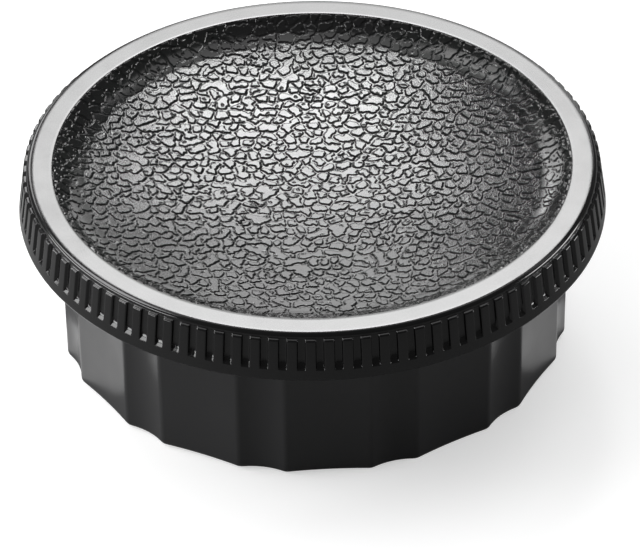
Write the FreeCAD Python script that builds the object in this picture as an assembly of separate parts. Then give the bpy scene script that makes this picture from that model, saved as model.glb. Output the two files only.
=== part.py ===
import FreeCAD, Part
import math
import os

# Two protective caps for one lens mount, locked together by their own bayonets
# as they are kept in a camera bag.
# The body cap lies on top. Its upper face is a shallow dish inside a flat
# polished land, and its edge is a ribbed finger grip. The dish's floor is a
# bowl so shallow that it looks flat, and a cove lifts it to the land.
# The rear lens cap stands under it. It is a cup with a fluted wall, and three
# tabs inside its mouth hold the three lugs of the body cap's plug.
# Lengths are millimetres and angles are degrees. +Z is up, the origin is the
# centre of the base, and +X runs through the middle of one wide panel.

V = FreeCAD.Vector
ORIGIN = V(0, 0, 0)
UP = V(0, 0, 1)

# plug and bayonet, from which all the radii are built outwards
PLUG_R = 22.3            # outside of the body cap's plug
PLUG_WALL = 1.7
PLUG_TAIL = 0.8          # plug below the lugs
LUG_COUNT = 3
LUG_REACH = 1.8          # how far a lug stands out of the plug
LUG_HEIGHT = 1.5
LUG_ARC = 44.0
LUG_LEAD = 0.35          # bevel under a lug's tip
TAB_THICK = 1.8          # tab inside the mouth of the rear cap
STOP_ARC = 5.0           # stop under one end of each tab

# running clearances
TAB_CLEAR = 0.3          # tab to plug, across
TIP_CLEAR = 0.7          # lug tip to the cup's bore
LUG_CLEAR = 0.2          # lug to tab, up and down
STOP_CLEAR = 0.3         # lug to stop when locked
FACE_CLEAR = 0.2         # face of one cap to face of the other

# rear lens cap
REAR_HEIGHT = 15.6
REAR_BASE = 1.6          # thickness of the closed end
REAR_WALL = 1.85         # bore to the middle of a wide panel, at the base
REAR_DRAFT = 1.2         # the wall widens upwards
FLUTE_COUNT = 12
PANEL_HALF = 9.7         # half the angle of a wide panel
PANEL_SINK = 0.58        # corner circle to the middle of a wide panel
FLUTE_SINK = 0.55        # corner circle to the bottom of a narrow flute
CORNER_SOFT = 0.35       # length taken off each side of a corner
FOOT_ROUND = 0.8         # rounded lower edge
FOOT_STEPS = 3
MOUTH_BEVEL = 0.3

# body cap
RIM_HEIGHT = 5.4
RIM_DRAFT = 7.1          # the grip widens downwards
RIM_WALL = 1.7
RIM_HOLLOW = 1.8         # width of the ring hollow behind the grip
RIM_HOLLOW_DEPTH = 2.6
RIM_FOOT_BEVEL = 0.2
SEAT_MARGIN = 0.4        # seat beyond the rear cap's corners
LAND_WIDTH = 2.26
LAND_ROUND = 0.5
LAND_STEPS = 3           # facets of that round, as on the foot
DISH_DEPTH = 3.15        # at the centre
DISH_BOWL = 200.0        # radius of the dish's floor, a very shallow bowl
BOWL_STEPS = 3           # the floor is turned as flat cones that follow that radius
DISH_COVE = 6.0          # radius of the cove from the floor up to the land
COVE_STEPS = 4           # the cove is turned in the same way
DISH_PLATE = 1.7         # plate between the dish and the hollow of the plug
RIB_COUNT = 100
RIB_SHARE = 0.57         # part of the pitch that is rib
RIB_DEPTH = 0.35
RIB_TOP = 0.6            # ledge over the ribs, below the land
RIB_FOOT = 1.4           # smooth band under the grooves

# radii that follow
PLUG_IN = PLUG_R - PLUG_WALL
LUG_R = PLUG_R + LUG_REACH
TAB_IN = PLUG_R + TAB_CLEAR
BORE_R = LUG_R + TIP_CLEAR
REAR_BASE_R = BORE_R + REAR_WALL + PANEL_SINK
REAR_GROW = math.tan(math.radians(REAR_DRAFT))
REAR_TOP_R = REAR_BASE_R + REAR_HEIGHT * REAR_GROW
HOLLOW_IN = REAR_TOP_R + SEAT_MARGIN
HOLLOW_OUT = HOLLOW_IN + RIM_HOLLOW
FLANGE_R = HOLLOW_OUT + RIM_WALL
RIM_GROW = math.tan(math.radians(RIM_DRAFT))
ROUND_OUT = LAND_ROUND * math.cos(math.radians(RIM_DRAFT))
ROUND_DOWN = LAND_ROUND * (1 - math.sin(math.radians(RIM_DRAFT)))
LAND_R = FLANGE_R - RIB_DEPTH - (RIM_HEIGHT - ROUND_DOWN) * RIM_GROW - ROUND_OUT
DISH_R = LAND_R - LAND_WIDTH

# levels that follow
SEAT_Z = REAR_HEIGHT + FACE_CLEAR
LAND_Z = SEAT_Z + RIM_HEIGHT
DISH_Z = LAND_Z - DISH_DEPTH
UNDER_Z = DISH_Z - DISH_PLATE
TAB_Z = REAR_HEIGHT - TAB_THICK
LUG_TOP_Z = TAB_Z - LUG_CLEAR
LUG_LOW_Z = LUG_TOP_Z - LUG_HEIGHT
PLUG_Z = LUG_LOW_Z - PLUG_TAIL

# angles that follow
STOP_GAP = math.degrees(STOP_CLEAR / LUG_R)
TAB_HALF = LUG_ARC / 2 + STOP_GAP + STOP_ARC
BITE = 0.4               # how deep a fused piece reaches into its carrier


def spot(r, z):
    """A point of a section, at radius r and height z."""
    return V(r, 0, z)


def section(start, steps):
    """A closed face in the XZ plane, from a start point over the end points of
    its straight steps. The outline closes itself."""
    points = [spot(*start)] + [spot(*step) for step in steps]
    return Part.Face(Part.makePolygon(points + points[:1]))


def turned(face, start=0.0, sweep=360.0):
    """The face turned about Z, from one angle and over another."""
    placed = face.copy()
    placed.rotate(ORIGIN, UP, start)
    return placed.revolve(ORIGIN, UP, sweep)


def around(face, count, first, sweep):
    """Equal pieces of a turned face, spaced evenly about Z. The first is
    centred on the angle first."""
    pitch = 360.0 / count
    return [turned(face, first + pitch * k - sweep / 2, sweep) for k in range(count)]


def cone_floor(z):
    """Radius of the grooves' floor, the cone that also shows above the ribs."""
    return LAND_R + ROUND_OUT + (LAND_Z - ROUND_DOWN - z) * RIM_GROW


def dish_section():
    """The section from the dish's centre to the land, in short steps along two
    arcs, the floor and the cove. The cove's centre lies DISH_BOWL - DISH_COVE
    from the floor's centre and DISH_COVE from the land's edge, so the arcs
    share a tangent where they meet. Each angle is the slope of the dish."""
    top = DISH_Z + DISH_BOWL
    far = DISH_BOWL - DISH_COVE
    span = math.hypot(DISH_R, top - LAND_Z)
    along = (span ** 2 + far ** 2 - DISH_COVE ** 2) / (2 * span)
    meet = math.atan2(DISH_R, top - LAND_Z) - math.acos(along / far)
    centre_r, centre_z = far * math.sin(meet), top - far * math.cos(meet)
    mouth = math.atan2(DISH_R - centre_r, centre_z - LAND_Z)
    steps = []
    for k in range(1, BOWL_STEPS + 1):
        t = meet * k / BOWL_STEPS
        steps.append((DISH_BOWL * math.sin(t), top - DISH_BOWL * math.cos(t)))
    for k in range(1, COVE_STEPS + 1):
        t = meet + (mouth - meet) * k / COVE_STEPS
        steps.append((centre_r + DISH_COVE * math.sin(t), centre_z - DISH_COVE * math.cos(t)))
    return steps


def land_round():
    """The small round from the land down to the grip's cone, in short steps."""
    points = []
    for k in range(1, LAND_STEPS + 1):
        t = math.radians((90.0 - RIM_DRAFT) * k / LAND_STEPS)
        points.append((LAND_R + LAND_ROUND * math.sin(t), LAND_Z - LAND_ROUND * (1 - math.cos(t))))
    return points


def cap_disc():
    """Dish, land, grip blank, seat and plug, all in one turned section."""
    ledge_z = LAND_Z - RIB_TOP
    steps = dish_section() + [(LAND_R, LAND_Z)] + land_round()
    steps += [
        (cone_floor(ledge_z), ledge_z),
        (cone_floor(ledge_z) + RIB_DEPTH, ledge_z),
        (cone_floor(SEAT_Z + RIM_FOOT_BEVEL) + RIB_DEPTH, SEAT_Z + RIM_FOOT_BEVEL),
        (FLANGE_R - RIM_FOOT_BEVEL, SEAT_Z),
        (HOLLOW_OUT, SEAT_Z),
        (HOLLOW_OUT, SEAT_Z + RIM_HOLLOW_DEPTH),
        (HOLLOW_IN, SEAT_Z + RIM_HOLLOW_DEPTH),
        (HOLLOW_IN, SEAT_Z),
        (PLUG_R, SEAT_Z),
        (PLUG_R, PLUG_Z + LUG_LEAD),
        (PLUG_R - LUG_LEAD, PLUG_Z),
        (PLUG_IN, PLUG_Z),
        (PLUG_IN, UNDER_Z),
        (0, UNDER_Z),
    ]
    return turned(section((0, DISH_Z), steps))


def groove_cutters():
    """The gaps between the ribs. Each floor lies on the grip's inner cone, so
    it runs on into the plain band above, and each ends in a ledge below."""
    top = LAND_Z - RIB_TOP
    low = SEAT_Z + RIB_FOOT
    out = FLANGE_R + 1.0
    steps = [(cone_floor(low), low), (out, low), (out, top + 0.2), (cone_floor(top), top + 0.2)]
    face = section((cone_floor(top), top), steps)
    pitch = 360.0 / RIB_COUNT
    return around(face, RIB_COUNT, pitch / 2, pitch * (1 - RIB_SHARE))


def lugs():
    """Three lugs at the plug's foot, with a bevel that leads them in."""
    steps = [
        (LUG_R, LUG_TOP_Z),
        (LUG_R, LUG_LOW_Z + LUG_LEAD),
        (LUG_R - LUG_LEAD, LUG_LOW_Z),
        (PLUG_R - BITE, LUG_LOW_Z),
    ]
    face = section((PLUG_R - BITE, LUG_TOP_Z), steps)
    return around(face, LUG_COUNT, 0.0, LUG_ARC)


def body_cap():
    """The body cap, one moulding."""
    cap = cap_disc().fuse(lugs())
    return cap.cut(groove_cutters())


def bowed(corner_r, half_angle, sink, t):
    """A point of a panel or flute in its own axes: t runs from -1 to 1 between
    its corners, and the middle lies sink inside the corner circle."""
    across = corner_r * math.sin(math.radians(half_angle))
    chord = corner_r * math.cos(math.radians(half_angle))
    middle = corner_r - sink
    return middle + (chord - middle) * t * t, across * t


def swung(point, angle, z):
    """That point turned to its place on the wall."""
    c = math.cos(math.radians(angle))
    s = math.sin(math.radians(angle))
    return V(point[0] * c - point[1] * s, point[0] * s + point[1] * c, z)


def fluted_wire(corner_r, z):
    """One level of the fluted wall: wide shallow panels and narrow flutes in
    turn, with a small arc on each corner between them."""
    pitch = 360.0 / FLUTE_COUNT
    flute_half = pitch / 2 - PANEL_HALF
    kinds = [(PANEL_HALF, PANEL_SINK, 0.0), (flute_half, FLUTE_SINK, pitch / 2)]
    arcs = []
    corners = []
    for k in range(FLUTE_COUNT):
        for half_angle, sink, shift in kinds:
            angle = pitch * k + shift
            width = corner_r * math.sin(math.radians(half_angle))
            t = 1 - CORNER_SOFT / width
            ends = [swung(bowed(corner_r, half_angle, sink, u), angle, z) for u in (-t, 0, t)]
            arcs.append(ends)
            corners.append(swung(bowed(corner_r, half_angle, sink, 1), angle, z))
    edges = []
    for k in range(len(arcs)):
        first, middle, last = arcs[k]
        after = arcs[(k + 1) % len(arcs)][0]
        apex = (last + corners[k] * 2 + after) * 0.25
        edges.append(Part.Arc(first, middle, last).toShape())
        edges.append(Part.Arc(last, apex, after).toShape())
    return Part.Wire(edges)


def fluted_blank():
    """The rear cap's outside as a solid: a rounded foot, a wall with draft and
    a bevelled mouth."""
    levels = []
    for k in range(FOOT_STEPS + 1):
        t = math.radians(90.0 * k / FOOT_STEPS)
        z = FOOT_ROUND * (1 - math.cos(t))
        levels.append((FOOT_ROUND * (1 - math.sin(t)), z))
    levels.append((0.0, REAR_HEIGHT - MOUTH_BEVEL))
    levels.append((MOUTH_BEVEL, REAR_HEIGHT))
    wires = [fluted_wire(REAR_BASE_R + z * REAR_GROW - inset, z) for inset, z in levels]
    return Part.makeLoft(wires, True, True)


def tabs():
    """Three tabs flush with the mouth, bevelled where the plug goes in."""
    outer = BORE_R + BITE
    steps = [
        (TAB_IN + MOUTH_BEVEL, REAR_HEIGHT),
        (TAB_IN, REAR_HEIGHT - MOUTH_BEVEL),
        (TAB_IN, TAB_Z),
        (outer, TAB_Z),
    ]
    face = section((outer, REAR_HEIGHT), steps)
    return around(face, LUG_COUNT, 0.0, 2 * TAB_HALF)


def stops():
    """A stop under the end of each tab, where the lug arrives when locked."""
    outer = BORE_R + BITE
    low = LUG_LOW_Z
    steps = [(TAB_IN, TAB_Z + BITE), (TAB_IN, low), (outer, low)]
    face = section((outer, TAB_Z + BITE), steps)
    return around(face, LUG_COUNT, -TAB_HALF + STOP_ARC / 2, STOP_ARC)


def rear_lens_cap():
    """The rear lens cap, one moulding."""
    depth = REAR_HEIGHT - REAR_BASE + 1.0
    bore = Part.makeCylinder(BORE_R, depth, V(0, 0, REAR_BASE))
    cup = fluted_blank().cut(bore)
    return cup.fuse(tabs() + stops())


def write(name, shape):
    """Check a shape, tidy its faces and write its file."""
    clean = shape.removeSplitter()
    if clean.ShapeType == "Compound" and len(clean.Solids) == 1:
        clean = clean.Solids[0]
    assert clean.isValid() and len(clean.Solids) == 1, name
    clean.exportStep("parts/" + name + ".step")
    box = clean.BoundBox
    print(name, "faces", len(clean.Faces), "volume", round(clean.Volume, 1),
          "z", round(box.ZMin, 3), round(box.ZMax, 3), "width", round(box.XLength, 3))


os.makedirs("parts", exist_ok=True)
write("body_cap", body_cap())
write("rear_lens_cap", rear_lens_cap())
print("flange", round(2 * FLANGE_R, 2), "land", round(2 * LAND_R, 2), "height", round(LAND_Z, 2))
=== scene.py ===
# %% [markdown]
# # A camera body cap locked onto a rear lens cap
#
# The object is a pair of black plastic caps for one lens mount. The body cap
# lies on top: a disc with a grained, dished face, a flat polished ring round
# the dish, which is called the land here, and a ribbed edge for the fingers.
# It is turned onto the rear lens cap below it, a cup with a fluted wall.
# The imported model gives every size and place, so the first step is to load it.

# %% Load the imported model
import math

import bpy
import numpy as np
from mathutils import Matrix, Quaternion, Vector


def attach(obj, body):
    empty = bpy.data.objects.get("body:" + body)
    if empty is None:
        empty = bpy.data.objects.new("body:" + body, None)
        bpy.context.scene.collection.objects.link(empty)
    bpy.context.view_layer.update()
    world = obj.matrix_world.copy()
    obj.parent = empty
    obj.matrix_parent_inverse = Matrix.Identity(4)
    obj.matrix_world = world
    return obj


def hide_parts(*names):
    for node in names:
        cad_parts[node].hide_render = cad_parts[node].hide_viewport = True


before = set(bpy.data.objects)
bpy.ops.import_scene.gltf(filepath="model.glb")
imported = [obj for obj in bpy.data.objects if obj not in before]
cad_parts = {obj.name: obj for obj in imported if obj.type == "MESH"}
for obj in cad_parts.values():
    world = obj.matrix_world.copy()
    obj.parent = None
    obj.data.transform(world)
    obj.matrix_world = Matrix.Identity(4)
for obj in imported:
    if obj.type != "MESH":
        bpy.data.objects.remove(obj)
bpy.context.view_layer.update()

MM = 0.001

# %% [markdown]
# ## Sizes
#
# A designer would keep the drawing beside the model. These are the drawing's
# main sizes in millimetres: the cup's top, the disc's seat just above it, the
# land, the dish and the ribs. What depends on them is worked out from them,
# and smaller sizes stand in the steps that need them.

# %% The drawing's main sizes, in millimetres
CUP_TOP = 15.6
SEAT = 15.8              # underside of the grip
LAND = 21.2
DISH_R = 27.73           # dish at its mouth
LAND_R = 29.99           # where the land's outer round begins
ROUND = 0.5
GRIP_DRAFT = math.radians(7.1)
GRIP_SLOPE = math.tan(GRIP_DRAFT)
RIB_COUNT = 100
RIB_SHARE = 0.57         # part of the pitch that is rib
RIB_DEPTH = 0.35
DISH_DEPTH = 3.15        # at the centre
DISH_BOWL = 200.0        # radius of the dish's floor
DISH_COVE = 6.0          # radius of the cove round it
DISH_PLATE = 1.7         # plate between the dish and the plug's hollow
UNDER = LAND - DISH_DEPTH - DISH_PLATE
print("land width", round(LAND_R - DISH_R, 2), "mm, grip height", round(LAND - SEAT, 2), "mm")

# %% [markdown]
# ## A grid becomes a skin
#
# Almost every form here is a surface of two parameters: one runs round the
# axis, the other along a profile. The helper takes such a grid of points and
# joins neighbours with four-sided faces. It can close the grid round the
# axis, close the profile on itself, and finish either end in a single point,
# which is how a turned shape ends on its axis.

# %% Faces between the points of a grid
def grid_faces(rows, cols, closed_cols, closed_rows):
    """Corner numbers of the faces between neighbouring rows and columns."""
    number = np.arange(rows * cols).reshape(rows, cols)
    if closed_cols:
        number = np.concatenate([number, number[:, :1]], axis=1)
    if closed_rows:
        number = np.concatenate([number, number[:1]], axis=0)
    a, b = number[:-1, :-1], number[:-1, 1:]
    c, d = number[1:, 1:], number[1:, :-1]
    return np.stack([a, b, c, d], axis=-1).reshape(-1, 4)


def fan_faces(ring, pole, flip):
    """Three-sided faces from a closed ring of points to one pole."""
    after = np.roll(ring, -1)
    tip = np.full_like(ring, pole)
    faces = np.stack([ring, after, tip], axis=-1)
    return faces[:, ::-1] if flip else faces


def signed_volume(points, quads, tris):
    """Volume inside a closed skin: the sum of a . (b x c) / 6 over its
    triangles, which is negative when the faces point inwards."""
    three = np.vstack([quads[:, [0, 1, 2]], quads[:, [0, 2, 3]], tris])
    a, b, c = points[three[:, 0]], points[three[:, 1]], points[three[:, 2]]
    return float(np.einsum("ij,ij->i", a, np.cross(b, c)).sum() / 6)


print("faces of a ring of 3 x 4 points", len(grid_faces(3, 4, True, False)))

# %% From points and faces to an object
def make_object(name, points, quads, tris, material):
    """A mesh object from points in millimetres and arrays of corner numbers.
    Every piece here is a closed skin, so the sign of its volume tells whether
    its faces must be turned round to point outwards."""
    points = np.asarray(points, dtype=np.float64)
    if signed_volume(points, quads, tris) < 0:
        quads, tris = quads[:, ::-1], tris[:, ::-1]
    mesh = bpy.data.meshes.new(name)
    mesh.vertices.add(len(points))
    mesh.vertices.foreach_set("co", (points * MM).ravel())
    corners = np.concatenate([quads.ravel(), tris.ravel()]).astype(np.int32)
    sizes = np.concatenate([np.full(len(quads), 4), np.full(len(tris), 3)])
    starts = np.concatenate([[0], np.cumsum(sizes)[:-1]]).astype(np.int32)
    mesh.loops.add(len(corners))
    mesh.loops.foreach_set("vertex_index", corners)
    mesh.polygons.add(len(sizes))
    mesh.polygons.foreach_set("loop_start", starts)
    mesh.update(calc_edges=True)
    mesh.polygons.foreach_set("use_smooth", np.ones(len(sizes), dtype=bool))
    mesh.materials.append(material)
    piece = bpy.data.objects.new(name, mesh)
    bpy.context.scene.collection.objects.link(piece)
    return piece


def turned_skin(name, grid, material, start_pole=None, end_pole=None, closed_rows=False):
    """A skin whose columns run round the axis and whose rows run along the
    profile. A pole closes an end with a fan of triangles."""
    rows, cols, _ = grid.shape
    points = grid.reshape(-1, 3)
    quads = grid_faces(rows, cols, True, closed_rows)
    fans = []
    if start_pole is not None:
        points = np.vstack([points, start_pole])
        fans.append(fan_faces(np.arange(cols), len(points) - 1, True))
    if end_pole is not None:
        points = np.vstack([points, end_pole])
        last = np.arange(cols) + (rows - 1) * cols
        fans.append(fan_faces(last, len(points) - 1, False))
    tris = np.vstack(fans) if fans else np.zeros((0, 3), dtype=int)
    return make_object(name, points, quads, tris, material)


def weigh_normals(piece):
    """Large flat faces keep their own normals, so only the small rounds bend."""
    weigh = piece.modifiers.new("weigh", "WEIGHTED_NORMAL")
    weigh.weight = 100
    weigh.keep_sharp = False


def report(piece):
    """Print a piece's triangles and its height."""
    mesh = piece.data
    co = np.zeros(len(mesh.vertices) * 3)
    mesh.vertices.foreach_get("co", co)
    z = co[2::3] / MM
    count = len(mesh.loops) - 2 * len(mesh.polygons)
    print(piece.name, count, "triangles, z", round(z.min(), 2), "to", round(z.max(), 2), "mm")


print("helpers ready")

# %% [markdown]
# ## Plastics
#
# All of it is one kind of plastic, injection moulded and nearly black. What
# changes is the mould's surface. The land comes from polished steel and
# mirrors the lamp behind it. The dish comes from an etched mould, so its
# grain scatters that lamp. The cup's mould was only fine ground, which gives
# a satin wall. Each finish is the same glossy shader with its own dark grey
# and roughness, a little unevenness in that roughness, and a faint bump.

# %% The plastics
def plastic(name, colour, roughness, spread, wave, bump_height, bump_scale, ior=1.46):
    """A glossy plastic. Roughness wanders by spread over patches of about
    1 / wave metres, and a fine noise makes a bump of bump_height metres."""
    material = bpy.data.materials.new(name)
    material.use_nodes = True
    nodes, links = material.node_tree.nodes, material.node_tree.links
    shader = nodes["Principled BSDF"]
    shader.inputs["Base Color"].default_value = (*colour, 1)
    shader.inputs["IOR"].default_value = ior
    place = nodes.new("ShaderNodeTexCoord")
    patches = nodes.new("ShaderNodeTexNoise")
    patches.inputs["Scale"].default_value = wave
    patches.inputs["Detail"].default_value = 3.0
    links.new(place.outputs["Object"], patches.inputs["Vector"])
    span = nodes.new("ShaderNodeMapRange")
    span.inputs["From Min"].default_value = 0.3
    span.inputs["From Max"].default_value = 0.7
    span.inputs["To Min"].default_value = roughness - spread
    span.inputs["To Max"].default_value = roughness + spread
    links.new(patches.outputs["Fac"], span.inputs["Value"])
    links.new(span.outputs["Result"], shader.inputs["Roughness"])
    grit = nodes.new("ShaderNodeTexNoise")
    grit.inputs["Scale"].default_value = bump_scale
    grit.inputs["Detail"].default_value = 2.0
    links.new(place.outputs["Object"], grit.inputs["Vector"])
    bump = nodes.new("ShaderNodeBump")
    bump.inputs["Strength"].default_value = 1.0
    bump.inputs["Distance"].default_value = bump_height
    links.new(grit.outputs["Fac"], bump.inputs["Height"])
    links.new(bump.outputs["Normal"], shader.inputs["Normal"])
    return material


polished = plastic("polished_black", (0.006, 0.006, 0.0062), 0.12, 0.02, 300, 0.0000004, 4000)
grained = plastic("grained_black", (0.008, 0.008, 0.0082), 0.13, 0.03, 900, 0.0000058, 5500)
satin = plastic("satin_black", (0.022, 0.022, 0.0228), 0.34, 0.04, 200, 0.0000008, 3000, ior=1.5)
for name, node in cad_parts.items():
    for index in range(len(node.data.materials)):
        node.data.materials[index] = satin if name == "rear_lens_cap" else polished
print("plastics", polished.name, grained.name, satin.name)

# %% [markdown]
# ## The dish's profile
#
# The dish is not flat. Its floor is a very shallow bowl, and a cove lifts the
# floor up to the land. Both are arcs that meet with one tangent, so the whole
# profile has a single measure: the length walked from the centre. The grain
# is later laid out by that length, which keeps its cells as large on the
# steep cove as on the floor.

# %% Two arcs in one line
def dish_arcs():
    """Angle where the bowl ends, angle at the mouth, and the cove's centre.
    The centre lies DISH_BOWL - DISH_COVE from the bowl's centre and DISH_COVE
    from the mouth, so it is where two circles cross."""
    far = DISH_BOWL - DISH_COVE
    across, up = DISH_R, DISH_DEPTH - DISH_BOWL
    span = math.hypot(across, up)
    along = (span ** 2 + far ** 2 - DISH_COVE ** 2) / (2 * span)
    aside = math.sqrt(far ** 2 - along ** 2)
    x = (across * along + up * aside) / span
    y = (up * along - across * aside) / span
    first = math.atan2(x, -y)
    last = math.atan2(DISH_R - x, -(up - y))
    return first, last, x, y + DISH_BOWL


BOWL_ANGLE, MOUTH_ANGLE, COVE_R, COVE_Z = dish_arcs()
BOWL_WALK = DISH_BOWL * BOWL_ANGLE
DISH_WALK = BOWL_WALK + DISH_COVE * (MOUTH_ANGLE - BOWL_ANGLE)


def dish_line(walk):
    """Radius, height and slope angle at a walked length from the centre."""
    bowl = walk < BOWL_WALK
    slope = np.where(bowl, walk / DISH_BOWL, BOWL_ANGLE + (walk - BOWL_WALK) / DISH_COVE)
    r = np.where(bowl, DISH_BOWL * np.sin(slope), COVE_R + DISH_COVE * np.sin(slope))
    up = np.where(bowl, DISH_BOWL * (1 - np.cos(slope)), COVE_Z - DISH_COVE * np.cos(slope))
    return r, LAND - DISH_DEPTH + up, slope


print("bowl ends at", round(math.degrees(BOWL_ANGLE), 1), "deg and r",
      round(float(dish_line(BOWL_WALK)[0]), 2), "- mouth slope",
      round(math.degrees(MOUTH_ANGLE), 1), "deg, walk", round(DISH_WALK, 2), "mm")

# %% [markdown]
# ## The grip and the disc
#
# The body cap without its face is a turned shape, so its profile is listed
# once, from the dish's mouth over the land, down the grip, under the seat and
# into the plug. The ribs are not cut one by one: the profile has two outer
# cones, one for the ribs and one for the grooves, and a wave round the axis
# chooses between them. Each groove ends at its foot in a ledge that slopes
# outwards, above a plain band. Each edge has two or three points close
# together, a small round as a mould leaves it, because a perfectly sharp edge
# would catch no light.

# %% The rib wave round the axis
def rib_wave():
    """Angles of the columns and the rib height there, from 0 in a groove to 1
    on a rib. The steps lie close together at a rib's two edges."""
    half = RIB_SHARE / 2
    away = np.array([0.0, 0.10, 0.20, half - 0.035, half - 0.01, half + 0.012, half + 0.035, 0.42])
    tall = np.array([1.0, 1.0, 1.0, 0.985, 0.85, 0.10, 0.0, 0.0])
    turn = np.concatenate([-away[:0:-1], away])
    lift = np.concatenate([tall[:0:-1], tall])
    turn = np.concatenate([turn, [0.5]])
    lift = np.concatenate([lift, [0.0]])
    whole = np.arange(RIB_COUNT)[:, None]
    angles = (whole + turn[None, :]) * 2 * math.pi / RIB_COUNT
    return angles.ravel(), np.tile(lift, RIB_COUNT)


rib_angles, rib_lift = rib_wave()
print("columns round the grip", len(rib_angles))

# %% The disc's profile and its skin
RIB_TOP = 0.6            # from the land down to the ribs' tops
RIB_FOOT = 1.4           # from the seat up to the ledges
BACKING = 0.4            # the disc lies this far behind the grained face
HOLLOW_OUT, HOLLOW_IN, HOLLOW_DEEP = 29.73, 27.93, 2.6    # ring hollow in the seat
PLUG_R, PLUG_IN, PLUG_LOW = 22.3, 20.6, 11.3    # outside, inside, lower end


def grip_inner(z):
    """Radius of the grooves' cone at height z."""
    start = LAND - ROUND * (1 - math.sin(GRIP_DRAFT))
    return LAND_R + ROUND * math.cos(GRIP_DRAFT) + (start - z) * GRIP_SLOPE


def disc_profile():
    """Rows of (radius in a groove, radius on a rib, height)."""
    rows = []

    def add(r, z, lift=0.0):
        rows.append((r, r + lift, z))

    for walk in (0.25, 0.5, 0.75, 0.9, 0.98):
        r, z, slope = dish_line(np.array(DISH_WALK * walk))
        add(float(r + BACKING * math.sin(slope)), float(z - BACKING * math.cos(slope)))
    for r, z in ((0.01, -0.10), (0.0, -0.03), (0.008, -0.006), (0.03, 0.0), (0.35, 0.0)):
        add(DISH_R + r, LAND + z)
    add(LAND_R - 0.35, LAND)
    for k in range(9):
        t = (math.pi / 2 - GRIP_DRAFT) * k / 8
        add(LAND_R + ROUND * math.sin(t), LAND - ROUND * (1 - math.cos(t)))
    # the ribs' tops, rounded from a groove's radius out to a rib's
    top = LAND - RIB_TOP
    add(grip_inner(top + 0.035), top + 0.035)
    for sink, lift in ((0, 0.02), (0, RIB_DEPTH - 0.14), (0.02, RIB_DEPTH - 0.09),
                       (0.07, RIB_DEPTH - 0.035), (0.15, RIB_DEPTH - 0.005), (0.20, RIB_DEPTH)):
        add(grip_inner(top - sink), top - sink, lift)
    low = SEAT + RIB_FOOT
    foot = low + 0.14
    for f in (0.33, 0.66):
        z = top - 0.20 + (foot - top + 0.20) * f
        add(grip_inner(z), z, RIB_DEPTH)
    add(grip_inner(foot), foot, RIB_DEPTH)
    # the ledges, which slope outwards and end in a round
    rows.append((grip_inner(low) + 0.03, grip_inner(low + 0.10) + RIB_DEPTH, low + 0.10))
    for k in range(5):
        t = math.radians(35 + 48 * k / 4)
        out, sink = 0.09 * (1 - math.sin(t)), 0.08 + 0.09 * (1 - math.cos(t))
        rib_r = grip_inner(low - sink) + RIB_DEPTH
        rows.append((rib_r - out, rib_r, low - sink))
    for z, inset in ((low - 0.3, 0), (SEAT + 0.3, 0), (SEAT + 0.2, 0),
                     (SEAT + 0.09, 0.03), (SEAT + 0.03, 0.09)):
        add(grip_inner(z) + RIB_DEPTH - inset, z)
    # the seat, the ring hollow behind the grip, and the plug
    edge = grip_inner(SEAT) + RIB_DEPTH
    for r, z in ((edge - 0.2, SEAT), (edge - 0.3, SEAT), (HOLLOW_OUT + 0.03, SEAT),
                 (HOLLOW_OUT, SEAT + 0.03), (HOLLOW_OUT, SEAT + HOLLOW_DEEP),
                 (HOLLOW_IN, SEAT + HOLLOW_DEEP), (HOLLOW_IN, SEAT + 0.03),
                 (HOLLOW_IN - 0.03, SEAT), (PLUG_R + 0.05, SEAT), (PLUG_R, SEAT - 0.05),
                 (PLUG_R, PLUG_LOW + 0.4), (PLUG_R - 0.35, PLUG_LOW), (PLUG_IN + 0.05, PLUG_LOW),
                 (PLUG_IN, PLUG_LOW + 0.05), (PLUG_IN, UNDER - 0.2), (PLUG_IN - 0.2, UNDER)):
        add(r, z)
    return np.array(rows)


def disc_skin():
    """Point = (r cos a, r sin a, z), where r lies between the groove's radius
    and the rib's radius by the rib wave at angle a."""
    profile = disc_profile()
    low, high, z = profile[:, 0:1], profile[:, 1:2], profile[:, 2:3]
    r = low + (high - low) * rib_lift[None, :]
    a = rib_angles[None, :]
    return np.stack([r * np.cos(a), r * np.sin(a), z + 0 * a], axis=-1)


body_disc = turned_skin("body_cap_disc", disc_skin(), polished,
                        start_pole=[[0, 0, LAND - DISH_DEPTH - BACKING]],
                        end_pole=[[0, 0, UNDER]])
weigh_normals(body_disc)
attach(body_disc, "body_cap")
report(body_disc)

# %% [markdown]
# ## The grain
#
# The face imitates leather: raised pebbles about a millimetre wide with flat
# tops, short steep sides and narrow valleys, some of them grown together. A
# picture or a bump alone would stay flat at the edge, so the pebbles are real
# relief. They come from scattered points: each spot belongs to the nearest
# point, and its distance to the border with the next one tells how high it
# lies. Some neighbours share one name, and between those no valley runs.

# %% Scattered points and the distance to a border
PEBBLE = 1.40            # distance of the points in a row, mm
ROW = 0.88               # distance of the rows, as a share of that
FIELD = 48               # points along each side of a field that repeats
seeds = np.random.default_rng(11)
jitter = seeds.uniform(-0.38, 0.38, (FIELD, FIELD, 2))
joined = seeds.uniform(0, 1, (FIELD, FIELD))
row_no, col_no = np.meshgrid(np.arange(FIELD), np.arange(FIELD), indexing="ij")
own_name = row_no * FIELD + col_no
to_right = (joined < 0.25) & (np.roll(joined, -1, 0) > 0.46)
to_above = (joined > 0.25) & (joined < 0.46) & (np.roll(joined, -1, 1) > 0.46)
name_of = np.where(to_right, np.roll(own_name, -1, 0), own_name)
name_of = np.where(to_above, np.roll(own_name, -1, 1), name_of)
height_of = seeds.uniform(0.75, 1.15, FIELD * FIELD)
waves = [(seeds.uniform(0, 2 * math.pi), seeds.uniform(0, 2 * math.pi), length)
         for length in (3.1, 2.3, 1.7, 1.3, 0.95, 0.7, 0.5) for _ in range(3)]
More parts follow.
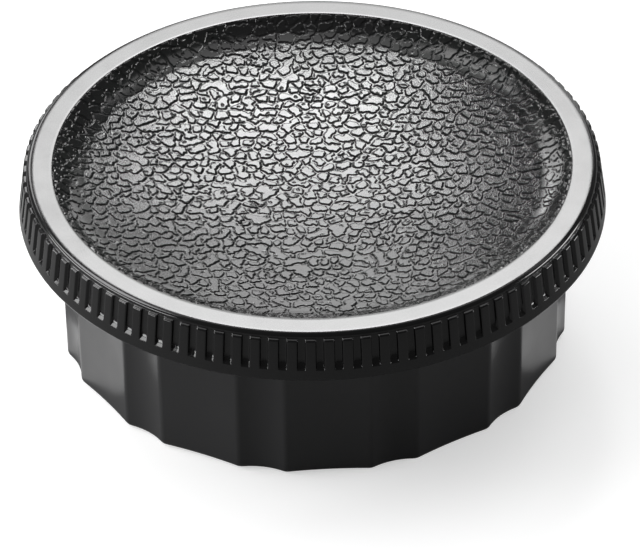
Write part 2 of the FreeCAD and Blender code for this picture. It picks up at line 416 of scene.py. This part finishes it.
print("points in the field", FIELD * FIELD, "- joined to a neighbour",
      int((name_of != own_name).sum()))


# %% The wandering field and the nearest points
def wander(x, y, which):
    """A smooth aimless field: the sum of plane waves of many directions and
    lengths, each as high as a small share of its length."""
    total = np.zeros_like(x)
    for turn, phase, length in waves:
        turn = turn + which * 2.1
        along = x * math.cos(turn) + y * math.sin(turn)
        swing = np.sin(along * 2 * math.pi / length + phase + which)
        total += (0.017 if length > 1.0 else 0.034) * length * swing
    return total


def border_distance(x, y):
    """Distance in mm to the border of the pebble that each spot lies in, and
    that pebble's number. The points stand in rows, every second row shifted
    by half a step, and each is moved at random. The distance to the border
    with a point of another name is half the difference of the squared
    distances over the points' own distance, and a soft minimum of those
    rounds the corners."""
    u = (x + wander(x, y, 0)) / PEBBLE
    v = (y + wander(x, y, 1)) / (PEBBLE * ROW)
    j0 = np.floor(v).astype(int)
    best = np.full(x.shape, 1e9)
    near_x, near_y = np.zeros(x.shape), np.zeros(x.shape)
    name = np.zeros(x.shape, dtype=int)
    spots = []
    for dj in (-2, -1, 0, 1, 2):
        shift = 0.5 * ((j0 + dj) % 2)
        i0 = np.floor(u - shift).astype(int)
        for di in (-2, -1, 0, 1, 2):
            i, j = (i0 + di) % FIELD, (j0 + dj) % FIELD
            px = i0 + di + 0.5 + shift + jitter[i, j, 0]
            py = (j0 + dj + 0.5 + jitter[i, j, 1]) * ROW
            far = (u - px) ** 2 + (v * ROW - py) ** 2
            closer = far < best
            best = np.where(closer, far, best)
            near_x, near_y = np.where(closer, px, near_x), np.where(closer, py, near_y)
            name = np.where(closer, name_of[i, j], name)
            spots.append((px, py, far, name_of[i, j]))
    soft = 0.045
    total = np.full(x.shape, 1e-18)
    for px, py, far, label in spots:
        apart = np.sqrt((px - near_x) ** 2 + (py - near_y) ** 2) + 1e-9
        edge = (far - best) / (2 * apart)
        total += np.where(label != name, np.exp(-np.minimum(edge, 2.0) / soft), 0.0)
    return -soft * np.log(total) * PEBBLE, name


sample = np.meshgrid(np.linspace(0, 10, 200), np.linspace(0, 10, 200))
print("furthest spot from a border", round(float(border_distance(*sample)[0].max()), 2), "mm")

# %% Pits and the relief
PIT_STEP = 1.05          # distance of the pits' places, mm
PIT_WIDE = 0.095
PIT_SINK = 0.09          # depth of the deepest pit
PEBBLE_HIGH = 0.115
FLANK_WIDE = 0.09
pit_place = seeds.uniform(-0.4, 0.4, (FIELD, FIELD, 2))
pit_turn = seeds.uniform(0, math.pi, (FIELD, FIELD))
pit_long = seeds.uniform(1.0, 2.6, (FIELD, FIELD))
pit_deep = np.where(seeds.uniform(0, 1, (FIELD, FIELD)) < 0.42,
                    seeds.uniform(0.5, 1.0, (FIELD, FIELD)), 0.0)


def pits(x, y):
    """Depth from 0 to 1 of small holes at scattered places. Each is a bell
    of exp(-(distance / PIT_WIDE)^2), drawn out along its own direction."""
    i0, j0 = np.floor(x / PIT_STEP).astype(int), np.floor(y / PIT_STEP).astype(int)
    deep = np.zeros(x.shape)
    for di in (-1, 0, 1):
        for dj in (-1, 0, 1):
            i, j = (i0 + di) % FIELD, (j0 + dj) % FIELD
            dx = x - (i0 + di + 0.5 + pit_place[i, j, 0]) * PIT_STEP
            dy = y - (j0 + dj + 0.5 + pit_place[i, j, 1]) * PIT_STEP
            c, s = np.cos(pit_turn[i, j]), np.sin(pit_turn[i, j])
            along, across = (dx * c + dy * s) / pit_long[i, j], dy * c - dx * s
            bell = np.exp(-(along ** 2 + across ** 2) / PIT_WIDE ** 2)
            deep = np.maximum(deep, pit_deep[i, j] * bell)
    return deep


def pebble_height(x, y):
    """Relief in mm: flat valleys, then a short steep flank that climbs as
    3 t^2 - 2 t^3, then a flat top, with the pits taken out of the tops."""
    edge, name = border_distance(x, y)
    valley = 0.105 + 0.045 * np.sin(x * 2.9 + 1.3 * y) * np.sin(y * 3.3 - x)
    climb = np.clip((edge - valley) / FLANK_WIDE, 0, 1)
    flank = climb * climb * (3 - 2 * climb)
    return PEBBLE_HIGH * height_of[name] * flank - PIT_SINK * pits(x, y) * flank


test = pebble_height(*sample)
print("relief from", round(float(test.min()), 3), "to", round(float(test.max()), 3),
      "mm, mean", round(float(test.mean()), 3))

# %% [markdown]
# ## The grained face in six grids
#
# A single grid of rings would crowd its points at the centre. So the face is
# laid in six grids that share their edges: a round patch made from a square
# grid, three rings of floor round it, and the cove in two rings. The outer
# rings have twice as many columns, which keeps the steps as short as near the
# middle. Each piece is a thin closed skin with its own plain back, resting on
# the disc behind it. The relief moves every point along the profile's normal,
# and the same differences that give the slope also give the normals, so that
# the light runs over the joins without a line.

# %% Relief on the profile
AROUND = 1200            # columns near the centre
PATCH = 12.0             # walk at the rim of the round patch
SKIN = 0.25              # thickness of a piece of the face
SUNK = 0.03              # the valleys lie this far below the profile
FADE = 0.16              # the relief ends over this walk at the mouth


def face_points(walk, angle):
    """Point = profile point at that walk, turned by the angle, then moved
    along the profile's normal by the pebbles' height there. The height fades
    out just inside the mouth."""
    r, z, slope = dish_line(walk)
    x, y = walk * np.cos(angle), walk * np.sin(angle)
    fade = np.clip((DISH_WALK - walk) / FADE, 0, 1)
    lift = (pebble_height(x, y) - SUNK) * fade - SUNK * (1 - fade)
    out = r - lift * np.sin(slope)
    return np.stack([out * np.cos(angle), out * np.sin(angle), z + lift * np.cos(slope)], axis=-1)


def slopes_to_normals(points):
    """Normals of the inner points of a grid: the cross product of the chords
    between each point's neighbours along rows and along columns."""
    along = points[2:, 1:-1] - points[:-2, 1:-1]
    across = points[1:-1, 2:] - points[1:-1, :-2]
    normal = np.cross(along, across)
    normal /= np.linalg.norm(normal, axis=-1, keepdims=True)
    return np.where(normal[..., 2:] < 0, -normal, normal)


def set_normals(piece, normals, face_count):
    """Give the first face_count faces these point normals, and the others
    their own flat ones."""
    mesh = piece.data
    total = len(mesh.loops)
    corner = np.zeros(total, dtype=np.int32)
    mesh.loops.foreach_get("vertex_index", corner)
    flat = np.zeros(len(mesh.polygons) * 3)
    mesh.polygons.foreach_get("normal", flat)
    flat = flat.reshape(-1, 3)
    sizes = np.zeros(len(mesh.polygons), dtype=np.int32)
    mesh.polygons.foreach_get("loop_total", sizes)
    by_loop = np.repeat(flat, sizes, axis=0)
    top = int(sizes[:face_count].sum())
    by_loop[:top] = normals[corner[:top]]
    mesh.normals_split_custom_set(by_loop)


rim_point = face_points(np.array([PATCH]), np.array([0.0]))[0]
print("a point of the face", [round(float(c), 2) for c in rim_point], "mm")

# %% A ring of the face
def ring_piece(name, walks, around, back_rows, material, finer=False):
    """A ring of the face between two walks, with a back SKIN below it. Its
    rows run outwards, back under themselves and close on the first. A ring
    that is finer than its inner neighbour meets that one's straight edges:
    each second point of its first row lies halfway between the next two."""
    step = walks[1] - walks[0]
    wide = np.concatenate([[walks[0] - step], walks, [2 * walks[-1] - walks[-2]]])
    turn = np.arange(-1, around + 1) * 2 * math.pi / around
    w, a = np.meshgrid(np.minimum(wide, DISH_WALK + 0.02), turn, indexing="ij")
    points = face_points(w, a)
    normals = slopes_to_normals(points)
    top = points[1:-1, 1:-1]
    if finer:
        top[0, 1::2] = (top[0, 0::2] + np.roll(top[0, 0::2], -1, axis=0)) / 2
    w, a = np.meshgrid(np.linspace(walks[-1], walks[0], back_rows), turn[1:-1], indexing="ij")
    r, z, slope = dish_line(w)
    out, down = r + SKIN * np.sin(slope), z - SKIN * np.cos(slope)
    back = np.stack([out * np.cos(a), out * np.sin(a), down], axis=-1)
    grid = np.concatenate([top, back], axis=0)
    piece = turned_skin(name, grid, material, closed_rows=True)
    flat = np.zeros((len(grid.reshape(-1, 3)), 3))
    flat[:len(top.reshape(-1, 3))] = normals.reshape(-1, 3)
    set_normals(piece, flat, (len(walks) - 1) * around)
    return piece


print("columns of a ring", AROUND, "and further out", 2 * AROUND)

# %% The round patch
def patch_piece(name, material):
    """The round patch. A square grid is bent into a disc: each square ring
    becomes a circle, and its points keep even angles."""
    n = AROUND // 4
    line = np.linspace(-1 - 2 / n, 1 + 2 / n, n + 3)
    a, b = np.meshgrid(line, line, indexing="ij")
    wide = np.abs(a) > np.abs(b)
    rho = np.where(wide, a, b)
    safe = np.where(np.abs(rho) < 1e-12, 1e-12, rho)
    turn = np.where(wide, math.pi / 4 * b / safe, math.pi / 2 - math.pi / 4 * a / safe)
    turn = turn + np.where(rho < 0, math.pi, 0)
    points = face_points(np.abs(rho) * PATCH, turn)
    normals = slopes_to_normals(points).reshape(-1, 3)
    top = points[1:-1, 1:-1]
    m = n + 1
    number = np.arange(m * m).reshape(m, m)
    edge = np.concatenate([number[-1, :-1], number[:0:-1, -1], number[0, :0:-1], number[:-1, 0]])
    quads = grid_faces(m, m, False, False)
    rim = top.reshape(-1, 3)[edge]
    r, z, _ = dish_line(np.array(PATCH))
    low = np.column_stack([rim[:, :2], np.full(len(edge), float(z) - SKIN)])
    lower = np.arange(len(edge)) + m * m
    after = np.roll(edge, -1)
    lower_after = np.roll(lower, -1)
    wall = np.stack([edge, after, lower_after, lower], axis=-1)
    pole = m * m + len(edge)
    fan = np.stack([lower, lower_after, np.full_like(lower, pole)], axis=-1)
    points = np.vstack([top.reshape(-1, 3), low, [[0, 0, LAND - DISH_DEPTH - SKIN]]])
    piece = make_object(name, points, np.vstack([quads, wall]), fan, material)
    flat = np.zeros((len(points), 3))
    flat[:m * m] = normals
    set_normals(piece, flat, n * n)
    return piece


print("points on top of the patch", (AROUND // 4 + 1) ** 2)

# %% The six pieces
INNER_END = 18.2         # walk where the columns double
outer_mid = (INNER_END + BOWL_WALK) / 2
cove_mid = (BOWL_WALK + DISH_WALK) / 2
fine = 2 * AROUND
face = [patch_piece("dish_centre", grained),
        ring_piece("dish_floor_inner", np.linspace(PATCH, INNER_END, 74), AROUND, 3, grained),
        ring_piece("dish_floor_middle", np.linspace(INNER_END, outer_mid, 38), fine, 3, grained,
                   finer=True),
        ring_piece("dish_floor_outer", np.linspace(outer_mid, BOWL_WALK, 38), fine, 3, grained),
        ring_piece("dish_cove_low", np.linspace(BOWL_WALK, cove_mid, 30), fine, 5, grained),
        ring_piece("dish_cove_high", np.linspace(cove_mid, DISH_WALK, 30), fine, 5, grained)]
for piece in face:
    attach(piece, "body_cap")
    report(piece)

# %% [markdown]
# ## The fluted cup
#
# The rear lens cap is a cup. Seen from above, its wall is a ring of twelve
# wide shallow panels with a narrow flute between each two, which is what the
# fingers hold when it is turned. Every panel and every flute is bowed inwards
# a little, and the corners between them are softened, so each corner catches
# a thin line of light. The outline is worked out for one panel and one flute
# and repeated round the axis, and the same outline is then carried up the
# wall with its radius growing, because a moulded wall needs draft.

# %% One level of the fluted outline
FLUTES = 12
PANEL_HALF = 9.7         # half the angle of a wide panel, degrees
PANEL_SINK = 0.58        # from the corners' circle to a panel's middle
FLUTE_SINK = 0.55        # from the corners' circle to a flute's middle
CORNER_SOFT = 0.35       # taken off each side of a corner
BASE_R = 27.23           # the corners' circle at the base
WALL_GROW = math.tan(math.radians(1.2))
FOOT_ROUND = 0.8
BORE_R = 24.8
CUP_FLOOR = 1.6


def bowed(corner_r, half, sink, t):
    """A parabola between two corners: t from -1 to 1 runs from corner to
    corner, and the middle lies sink inside the circle through the corners."""
    across = corner_r * math.sin(half)
    chord = corner_r * math.cos(half)
    middle = corner_r - sink
    return np.stack([middle + (chord - middle) * t * t, across * t], axis=-1)


def turn_by(points, angle):
    """The points of a plane turned about its origin."""
    c, s = math.cos(angle), math.sin(angle)
    x, y = points[..., 0], points[..., 1]
    return np.stack([x * c - y * s, x * s + y * c], axis=-1)


def fluted_outline(corner_r):
    """Outline for a column of corner radii. A panel, a soft corner, a flute
    and a soft corner follow one another. A soft corner is the curve
    (1-s)^2 p + 2 s (1-s) q + s^2 r, from the end p of one bow over the sharp
    corner q to the start r of the next."""
    corner_r = np.asarray(corner_r, dtype=float)[:, None]
    panel, flute = math.radians(PANEL_HALF), math.radians(180 / FLUTES - PANEL_HALF)
    step = math.radians(360 / FLUTES)
    s = np.array([1, 2, 3, 4, 5])[None, :, None] / 6

    def soft(p, q, r):
        return (1 - s) ** 2 * p + 2 * s * (1 - s) * q + s ** 2 * r

    cut_p = 1 - CORNER_SOFT / (corner_r * math.sin(panel))
    cut_f = 1 - CORNER_SOFT / (corner_r * math.sin(flute))
    wide = bowed(corner_r, panel, PANEL_SINK, cut_p * np.linspace(-1, 1, 15)[None, :])
    slim = bowed(corner_r, flute, FLUTE_SINK, cut_f * np.linspace(-1, 1, 11)[None, :])
    slim = turn_by(slim, step / 2)
    next_wide = turn_by(wide, step)
    near = bowed(corner_r, panel, PANEL_SINK, np.ones_like(corner_r))
    far = turn_by(bowed(corner_r, panel, PANEL_SINK, -np.ones_like(corner_r)), step)
    one = np.concatenate([wide, soft(wide[:, -1:], near, slim[:, :1]),
                          slim, soft(slim[:, -1:], far, next_wide[:, :1])], axis=1)
    return np.concatenate([turn_by(one, step * k) for k in range(FLUTES)], axis=1)


print("columns round the cup", fluted_outline([BASE_R]).shape[1])

# %% [markdown]
# ## The cup's skin
#
# The rows of the cup run from the middle of its base, round the foot, up the
# wall, over the bevelled mouth and down the bore to the floor inside. Outside
# they follow the fluted outline. Inside they are plain circles that keep the
# columns' angles, so no face is twisted.

# %% The cup
def cup_rows():
    """Outer rows as (inset from the wall, height) and inner rows as (radius,
    height)."""
    foot = np.radians(np.linspace(0, 90, 9))
    outer = [(8.0, 0.0), (2.2, 0.0)]
    outer += list(zip(FOOT_ROUND * (1 - np.sin(foot)), FOOT_ROUND * (1 - np.cos(foot))))
    outer += [(0, z) for z in (0.9, 4.5, 8.5, 12.5, CUP_TOP - 0.40)]
    outer += [(inset, CUP_TOP - sink) for inset, sink in
              ((0.01, 0.33), (0.06, 0.25), (0.24, 0.05), (0.30, 0.01), (0.36, 0))]
    inner = [(BORE_R + out, CUP_TOP - sink) for out, sink in
             ((0.25, 0), (0.12, 0.01), (0.02, 0.08), (0, 0.15), (0, 0.25))]
    inner += [(BORE_R - inset, CUP_FLOOR + up) for inset, up in
              ((0, 0.4), (0.02, 0.2), (0.12, 0.07), (0.3, 0), (0.6, 0))]
    inner.append((12.0, CUP_FLOOR))
    return np.array(outer), np.array(inner)


def cup_skin():
    """Outer points = fluted outline of radius BASE_R + z * WALL_GROW - inset.
    Inner points = circles at the same columns' angles."""
    outer, inner = cup_rows()
    inset, z = outer[:, 0], outer[:, 1]
    plan = fluted_outline(BASE_R + z * WALL_GROW - inset)
    level = np.broadcast_to(z[:, None, None], plan.shape[:2] + (1,))
    shell = np.concatenate([plan, level], axis=-1)
    angle = np.arctan2(plan[-1, :, 1], plan[-1, :, 0])[None, :]
    r, h = inner[:, 0:1], inner[:, 1:2]
    bore = np.stack([r * np.cos(angle), r * np.sin(angle), h + 0 * angle], axis=-1)
    return np.concatenate([shell, bore], axis=0)


cup = turned_skin("rear_cup", cup_skin(), satin,
                  start_pole=[[0, 0, 0]], end_pole=[[0, 0, CUP_FLOOR]])
weigh_normals(cup)
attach(cup, "rear_cap")
report(cup)

# %% [markdown]
# ## Lugs, tabs and stops
#
# Inside the pair is the bayonet. Three lugs on the body cap's plug turn in
# under three tabs at the cup's mouth, and a stop under one end of each tab
# ends the turn. Each is a short length of a turned section, so one helper
# makes them all: the section runs along the rows and the turn along the
# columns, and both ends are closed with a fan.

# %% Short lengths of a turned section
def turned_length(name, section, centre, sweep, steps, material):
    """Point = (r cos a, r sin a, z) for the section's points (r, z) and
    angles a from centre - sweep / 2 to centre + sweep / 2, in degrees."""
    section = np.array(section)
    a = np.radians(np.linspace(centre - sweep / 2, centre + sweep / 2, steps))[None, :]
    r, z = section[:, 0:1], section[:, 1:2]
    grid = np.stack([r * np.cos(a), r * np.sin(a), z + 0 * a], axis=-1)
    rows, cols, _ = grid.shape
    points = grid.reshape(-1, 3)
    quads = grid_faces(rows, cols, False, True)
    first, last = np.arange(rows) * cols, np.arange(rows) * cols + cols - 1
    points = np.vstack([points, grid[:, 0].mean(axis=0), grid[:, -1].mean(axis=0)])
    tris = np.vstack([fan_faces(first, rows * cols, False), fan_faces(last, rows * cols + 1, True)])
    piece = make_object(name, points, quads, tris, material)
    weigh_normals(piece)
    return piece


LUG_R, LUG_LOW, LUG_TOP, LUG_ARC = 24.1, 12.1, 13.6, 44.0    # the arc in degrees
TAB_IN, TAB_LOW = 22.6, 13.8    # opening between the tabs, their underside
TAB_HALF = 27.71         # half the angle of a tab, degrees
STOP_ARC = 5.0           # angle of a stop, degrees
FUSED_R = 25.1           # tabs and stops reach this far into the cup's wall
root = PLUG_R - 0.3      # the lugs' inner side, inside the plug's wall
lug_section = [(root, LUG_TOP), (LUG_R - 0.1, LUG_TOP), (LUG_R - 0.03, LUG_TOP - 0.03),
               (LUG_R, LUG_TOP - 0.1), (LUG_R, LUG_LOW + 0.35), (LUG_R - 0.05, LUG_LOW + 0.26),
               (LUG_R - 0.3, LUG_LOW + 0.03), (LUG_R - 0.38, LUG_LOW), (root, LUG_LOW)]
tab_section = [(FUSED_R, CUP_TOP), (TAB_IN + 0.3, CUP_TOP), (TAB_IN + 0.24, CUP_TOP - 0.04),
               (TAB_IN + 0.03, CUP_TOP - 0.24), (TAB_IN, CUP_TOP - 0.3), (TAB_IN, TAB_LOW + 0.05),
               (TAB_IN + 0.05, TAB_LOW), (FUSED_R, TAB_LOW)]
stop_section = [(FUSED_R, TAB_LOW + 0.2), (TAB_IN, TAB_LOW + 0.2), (TAB_IN, LUG_LOW + 0.06),
                (TAB_IN + 0.06, LUG_LOW), (FUSED_R, LUG_LOW)]
for k in range(3):
    lug = turned_length("lug_%d" % k, lug_section, 120 * k, LUG_ARC, 25, polished)
    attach(lug, "body_cap")
    tab = turned_length("tab_%d" % k, tab_section, 120 * k, 2 * TAB_HALF, 29, satin)
    stop = turned_length("stop_%d" % k, stop_section, 120 * k - TAB_HALF + STOP_ARC / 2,
                         STOP_ARC, 6, satin)
    for piece in (tab, stop):
        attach(piece, "rear_cap")
report(lug)
report(tab)
report(stop)
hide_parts("body_cap")
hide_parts("rear_lens_cap")

# %% [markdown]
# ## Floor
#
# A product like this is photographed on a white sweep. The floor is a real
# diffuse surface, because the caps' walls mirror it. The camera sees it as a
# paler grey than the walls do, and for the camera alone a little light is
# added to it. So it reads nearly white, it keeps the shadow of the caps, and
# the ribs in front stay black.

# %% The floor
def pale_floor(seen, mirrored, glow):
    """Diffuse grey of level seen for camera rays and of level mirrored for
    all others, plus an emission that only camera rays get."""
    material = bpy.data.materials.new("pale_floor")
    material.use_nodes = True
    nodes, links = material.node_tree.nodes, material.node_tree.links
    nodes.clear()
    out = nodes.new("ShaderNodeOutputMaterial")
    diffuse = nodes.new("ShaderNodeBsdfDiffuse")
    emit = nodes.new("ShaderNodeEmission")
    emit.inputs["Color"].default_value = (1, 1, 1, 1)
    path = nodes.new("ShaderNodeLightPath")
    grey = nodes.new("ShaderNodeMapRange")
    grey.inputs["To Min"].default_value = mirrored
    grey.inputs["To Max"].default_value = seen
    links.new(path.outputs["Is Camera Ray"], grey.inputs["Value"])
    links.new(grey.outputs["Result"], diffuse.inputs["Color"])
    level = nodes.new("ShaderNodeMath")
    level.operation = "MULTIPLY"
    level.inputs[1].default_value = glow
    links.new(path.outputs["Is Camera Ray"], level.inputs[0])
    links.new(level.outputs[0], emit.inputs["Strength"])
    both = nodes.new("ShaderNodeAddShader")
    links.new(diffuse.outputs[0], both.inputs[0])
    links.new(emit.outputs[0], both.inputs[1])
    links.new(both.outputs[0], out.inputs["Surface"])
    return material


def flat_sheet(name, half, z, material):
    """A square sheet at height z."""
    mesh = bpy.data.meshes.new(name)
    corners = [(-half, -half, z), (half, -half, z), (half, half, z), (-half, half, z)]
    mesh.from_pydata(corners, [], [(0, 1, 2, 3)])
    mesh.materials.append(material)
    sheet = bpy.data.objects.new(name, mesh)
    bpy.context.scene.collection.objects.link(sheet)
    return sheet


floor = flat_sheet("floor", 4.0, -0.00005, pale_floor(0.64, 0.28, 0.51))
print("floor", floor.name)

# %% [markdown]
# ## Camera
#
# The photograph was taken with a long lens from 36 degrees above the table,
# almost straight in front of a wide panel. The camera is placed on a sphere
# about the middle of the land, rolled by about one degree, and aimed so that
# the middle of the land falls where it does in the photograph.

# %% The camera
AZ, EL, ROLL = (math.radians(v) for v in (-2.8, 35.9, -0.9))
FAR = 0.8                # from the middle of the land, metres
back = Vector((math.sin(AZ) * math.cos(EL), -math.cos(AZ) * math.cos(EL), math.sin(EL)))
side = Vector((math.cos(AZ), math.sin(AZ), 0))
down = -back.cross(side)
right_axis = side * math.cos(ROLL) - down * math.sin(ROLL)
down_axis = side * math.sin(ROLL) + down * math.cos(ROLL)
LENS, SENSOR = 421.5, 36.0
PICTURE = 640            # pixels across the picture
SHIFT_X, SHIFT_Y = 8.2, 118.3    # pixels from the land's middle to the picture's
pixels = LENS / SENSOR * PICTURE
ahead = (-back * pixels + right_axis * SHIFT_X + down_axis * SHIFT_Y).normalized()
down_axis = (down_axis - ahead * down_axis.dot(ahead)).normalized()
right_axis = down_axis.cross(ahead)
print("handedness", round(right_axis.dot(side), 3))
camera_data = bpy.data.cameras.new("camera")
camera = bpy.data.objects.new("camera", camera_data)
bpy.context.scene.collection.objects.link(camera)
camera_data.lens, camera_data.sensor_width, camera_data.sensor_fit = LENS, SENSOR, "HORIZONTAL"
camera_data.clip_start, camera_data.clip_end = 0.01, 20
eye = Vector((0, 0, LAND * MM)) + back * FAR
turned = Matrix((right_axis, -down_axis, -ahead)).transposed().to_4x4()
camera.matrix_world = Matrix.Translation(eye) @ turned
bpy.context.scene.camera = camera
print("camera at", [round(v, 3) for v in eye])

# %% [markdown]
# ## The key
#
# Black gloss shows lamps more than it shows itself. The land and the dish
# mirror the space behind the object to the camera, so the key stands there.
# It is a wall of strips with a level for each, brightest above and fading
# downwards and to the right, because the dish darkens from its back to its
# front and to its left side.

# %% A softbox, and the key's strips
AIM = Vector((0, 0, 0.015))


def softbox(name, polar, height, away, width, tall, level):
    """A flat lamp on a sphere about AIM, facing it. The level is its
    radiance, so its power is level x pi x area."""
    t, e = math.radians(polar), math.radians(height)
    out = Vector((math.cos(t) * math.cos(e), math.sin(t) * math.cos(e), math.sin(e)))
    data = bpy.data.lights.new(name, "AREA")
    data.shape, data.size, data.size_y = "RECTANGLE", width, tall
    data.energy = level * math.pi * width * tall
    lamp = bpy.data.objects.new(name, data)
    lamp.location = AIM + out * away
    lamp.rotation_mode = "QUATERNION"
    lamp.rotation_quaternion = out.to_track_quat("Z", "Y")
    lamp.visible_camera = False
    bpy.context.scene.collection.objects.link(lamp)
    return lamp


# Lower and upper edge, right and left edge as polar angles, all in degrees,
# and level
KEY_FAR = 2.5
strips = [(5, 19, 64, 74, 1.9), (5, 19, 74, 97, 1.8),
          (19, 24, 64, 84, 1.5), (19, 24, 84, 90.8, 3.0),
          (24, 28, 64, 84, 1.5), (24, 28, 84, 90.8, 4.1),
          (28, 32, 66, 84, 1.4), (28, 32, 84, 91, 5.1),
          (32, 34, 70, 83, 1.6), (32, 34, 83, 91.5, 7.2),
          (34, 36, 81, 92.2, 10.3), (36, 38, 80.7, 92.4, 12.2),
          (38, 42, 80.7, 91.8, 13.7), (42, 47.6, 80.7, 91.8, 20.0)]
for number, (low, high, right, left, level) in enumerate(strips):
    middle = (low + high) / 2
    wide = 2 * KEY_FAR * math.cos(math.radians(middle))
    wide *= math.tan(math.radians((left - right) / 2))
    tall = 2 * KEY_FAR * math.tan(math.radians((high - low) / 2))
    softbox("key_%d" % number, (left + right) / 2, middle, KEY_FAR, wide, tall, level)
print("key strips", len(strips))

# %% [markdown]
# ## The other lamps
#
# A dim ceiling shows in the cove at the back, and a box at the back left draws
# the grey band along the cove's right side. Two low boxes, a long one at the
# left and a shorter one at the right, put thin lines on the edges of the ribs.
# Four boxes show in gloss only and are linked to some pieces alone, because
# they would fill the dark lines of the grain: two light up the sloping ledges
# at the feet of the ribs, and two draw the cove's grey at the right and the
# back right. Two small lamps brighten the floor and are not mirrored. Two
# cards lie on the floor beside the cup and show in its gloss only, as a sheen
# on the panels at both ends. The space in front stays dim.

# %% Boxes, linked boxes, floor lamps and cards
softbox("ceiling", 88, 65, 1.0, 1.00, 0.50, 1.35)
softbox("back_left", 112, 26, 0.9, 0.29, 0.36, 4.6)
ribbed, cove = [body_disc], face[4:]
for name, polar, height, wide, tall, level, pieces in (
        ("left_wall", 163, 46, 0.75, 0.50, 8.0, ribbed),
        ("right_wall", 20, 40, 0.20, 0.20, 1.6, ribbed),
        ("cove_side", 103, 27, 0.17, 0.34, 2.4, cove),
        ("cove_back", 140, 55, 0.42, 0.34, 3.6, cove)):
    lamp = softbox(name, polar, height, 1.0, wide, tall, level)
    lamp.visible_diffuse = False
    lit = bpy.data.collections.new(name + "_lit")
    for piece in pieces:
        lit.objects.link(piece)
    lamp.light_linking.receiver_collection = lit
softbox("side_left", 184, 9, 0.8, 0.95, 0.17, 11.0)
softbox("side_right", 6, 8, 0.8, 0.45, 0.19, 13.0)
for name, polar, height, away, level in (("floor_left", 174, 32, 0.16, 5.0),
                                         ("floor_right", 38, 50, 0.22, 2.0)):
    lamp = softbox(name, polar, height, away, 0.13, 0.13, level)
    lamp.visible_glossy = False


def floor_card(name, polar, near, wide, deep, level):
    """A bright card that lies on the floor and shows in gloss only. Its near
    edge touches a circle of radius near about the axis; sizes are in mm."""
    turn = math.radians(polar)
    lamp = softbox(name, polar, 90, 0, deep * MM, wide * MM, level)
    middle = (near + deep / 2) * MM
    lamp.location = (middle * math.cos(turn), middle * math.sin(turn), 0.4 * MM)
    lamp.rotation_quaternion = Quaternion((0, 0, 1), turn) @ Quaternion((1, 0, 0), math.pi)
    lamp.visible_diffuse = False


floor_card("card_left", 195, 27.5, 14, 15, 1.0)
floor_card("card_right", -14, 27.5, 13, 12, 0.75)

# %% [markdown]
# ## The world
#
# The world is white for the camera and dim for everything else, so the gloss
# stays black. The view transform is the plain one, without a film's curve.

# %% The world and the view
def dim_world(level):
    """White for camera rays, and a dim even grey for all other rays."""
    world = bpy.data.worlds.new("dim_world")
    bpy.context.scene.world = world
    world.use_nodes = True
    nodes, links = world.node_tree.nodes, world.node_tree.links
    sky = nodes["Background"]
    sky.inputs["Color"].default_value = (1, 1, 1, 1)
    path = nodes.new("ShaderNodeLightPath")
    blend = nodes.new("ShaderNodeMapRange")
    blend.inputs["To Min"].default_value = level
    blend.inputs["To Max"].default_value = 1.0
    links.new(path.outputs["Is Camera Ray"], blend.inputs["Value"])
    links.new(blend.outputs["Result"], sky.inputs["Strength"])


dim_world(0.12)
bpy.context.scene.view_settings.view_transform = "Standard"
print("world", bpy.context.scene.world.name, "- view transform",
      bpy.context.scene.view_settings.view_transform)

# %% Bring the scene up to date
bpy.context.view_layer.update()
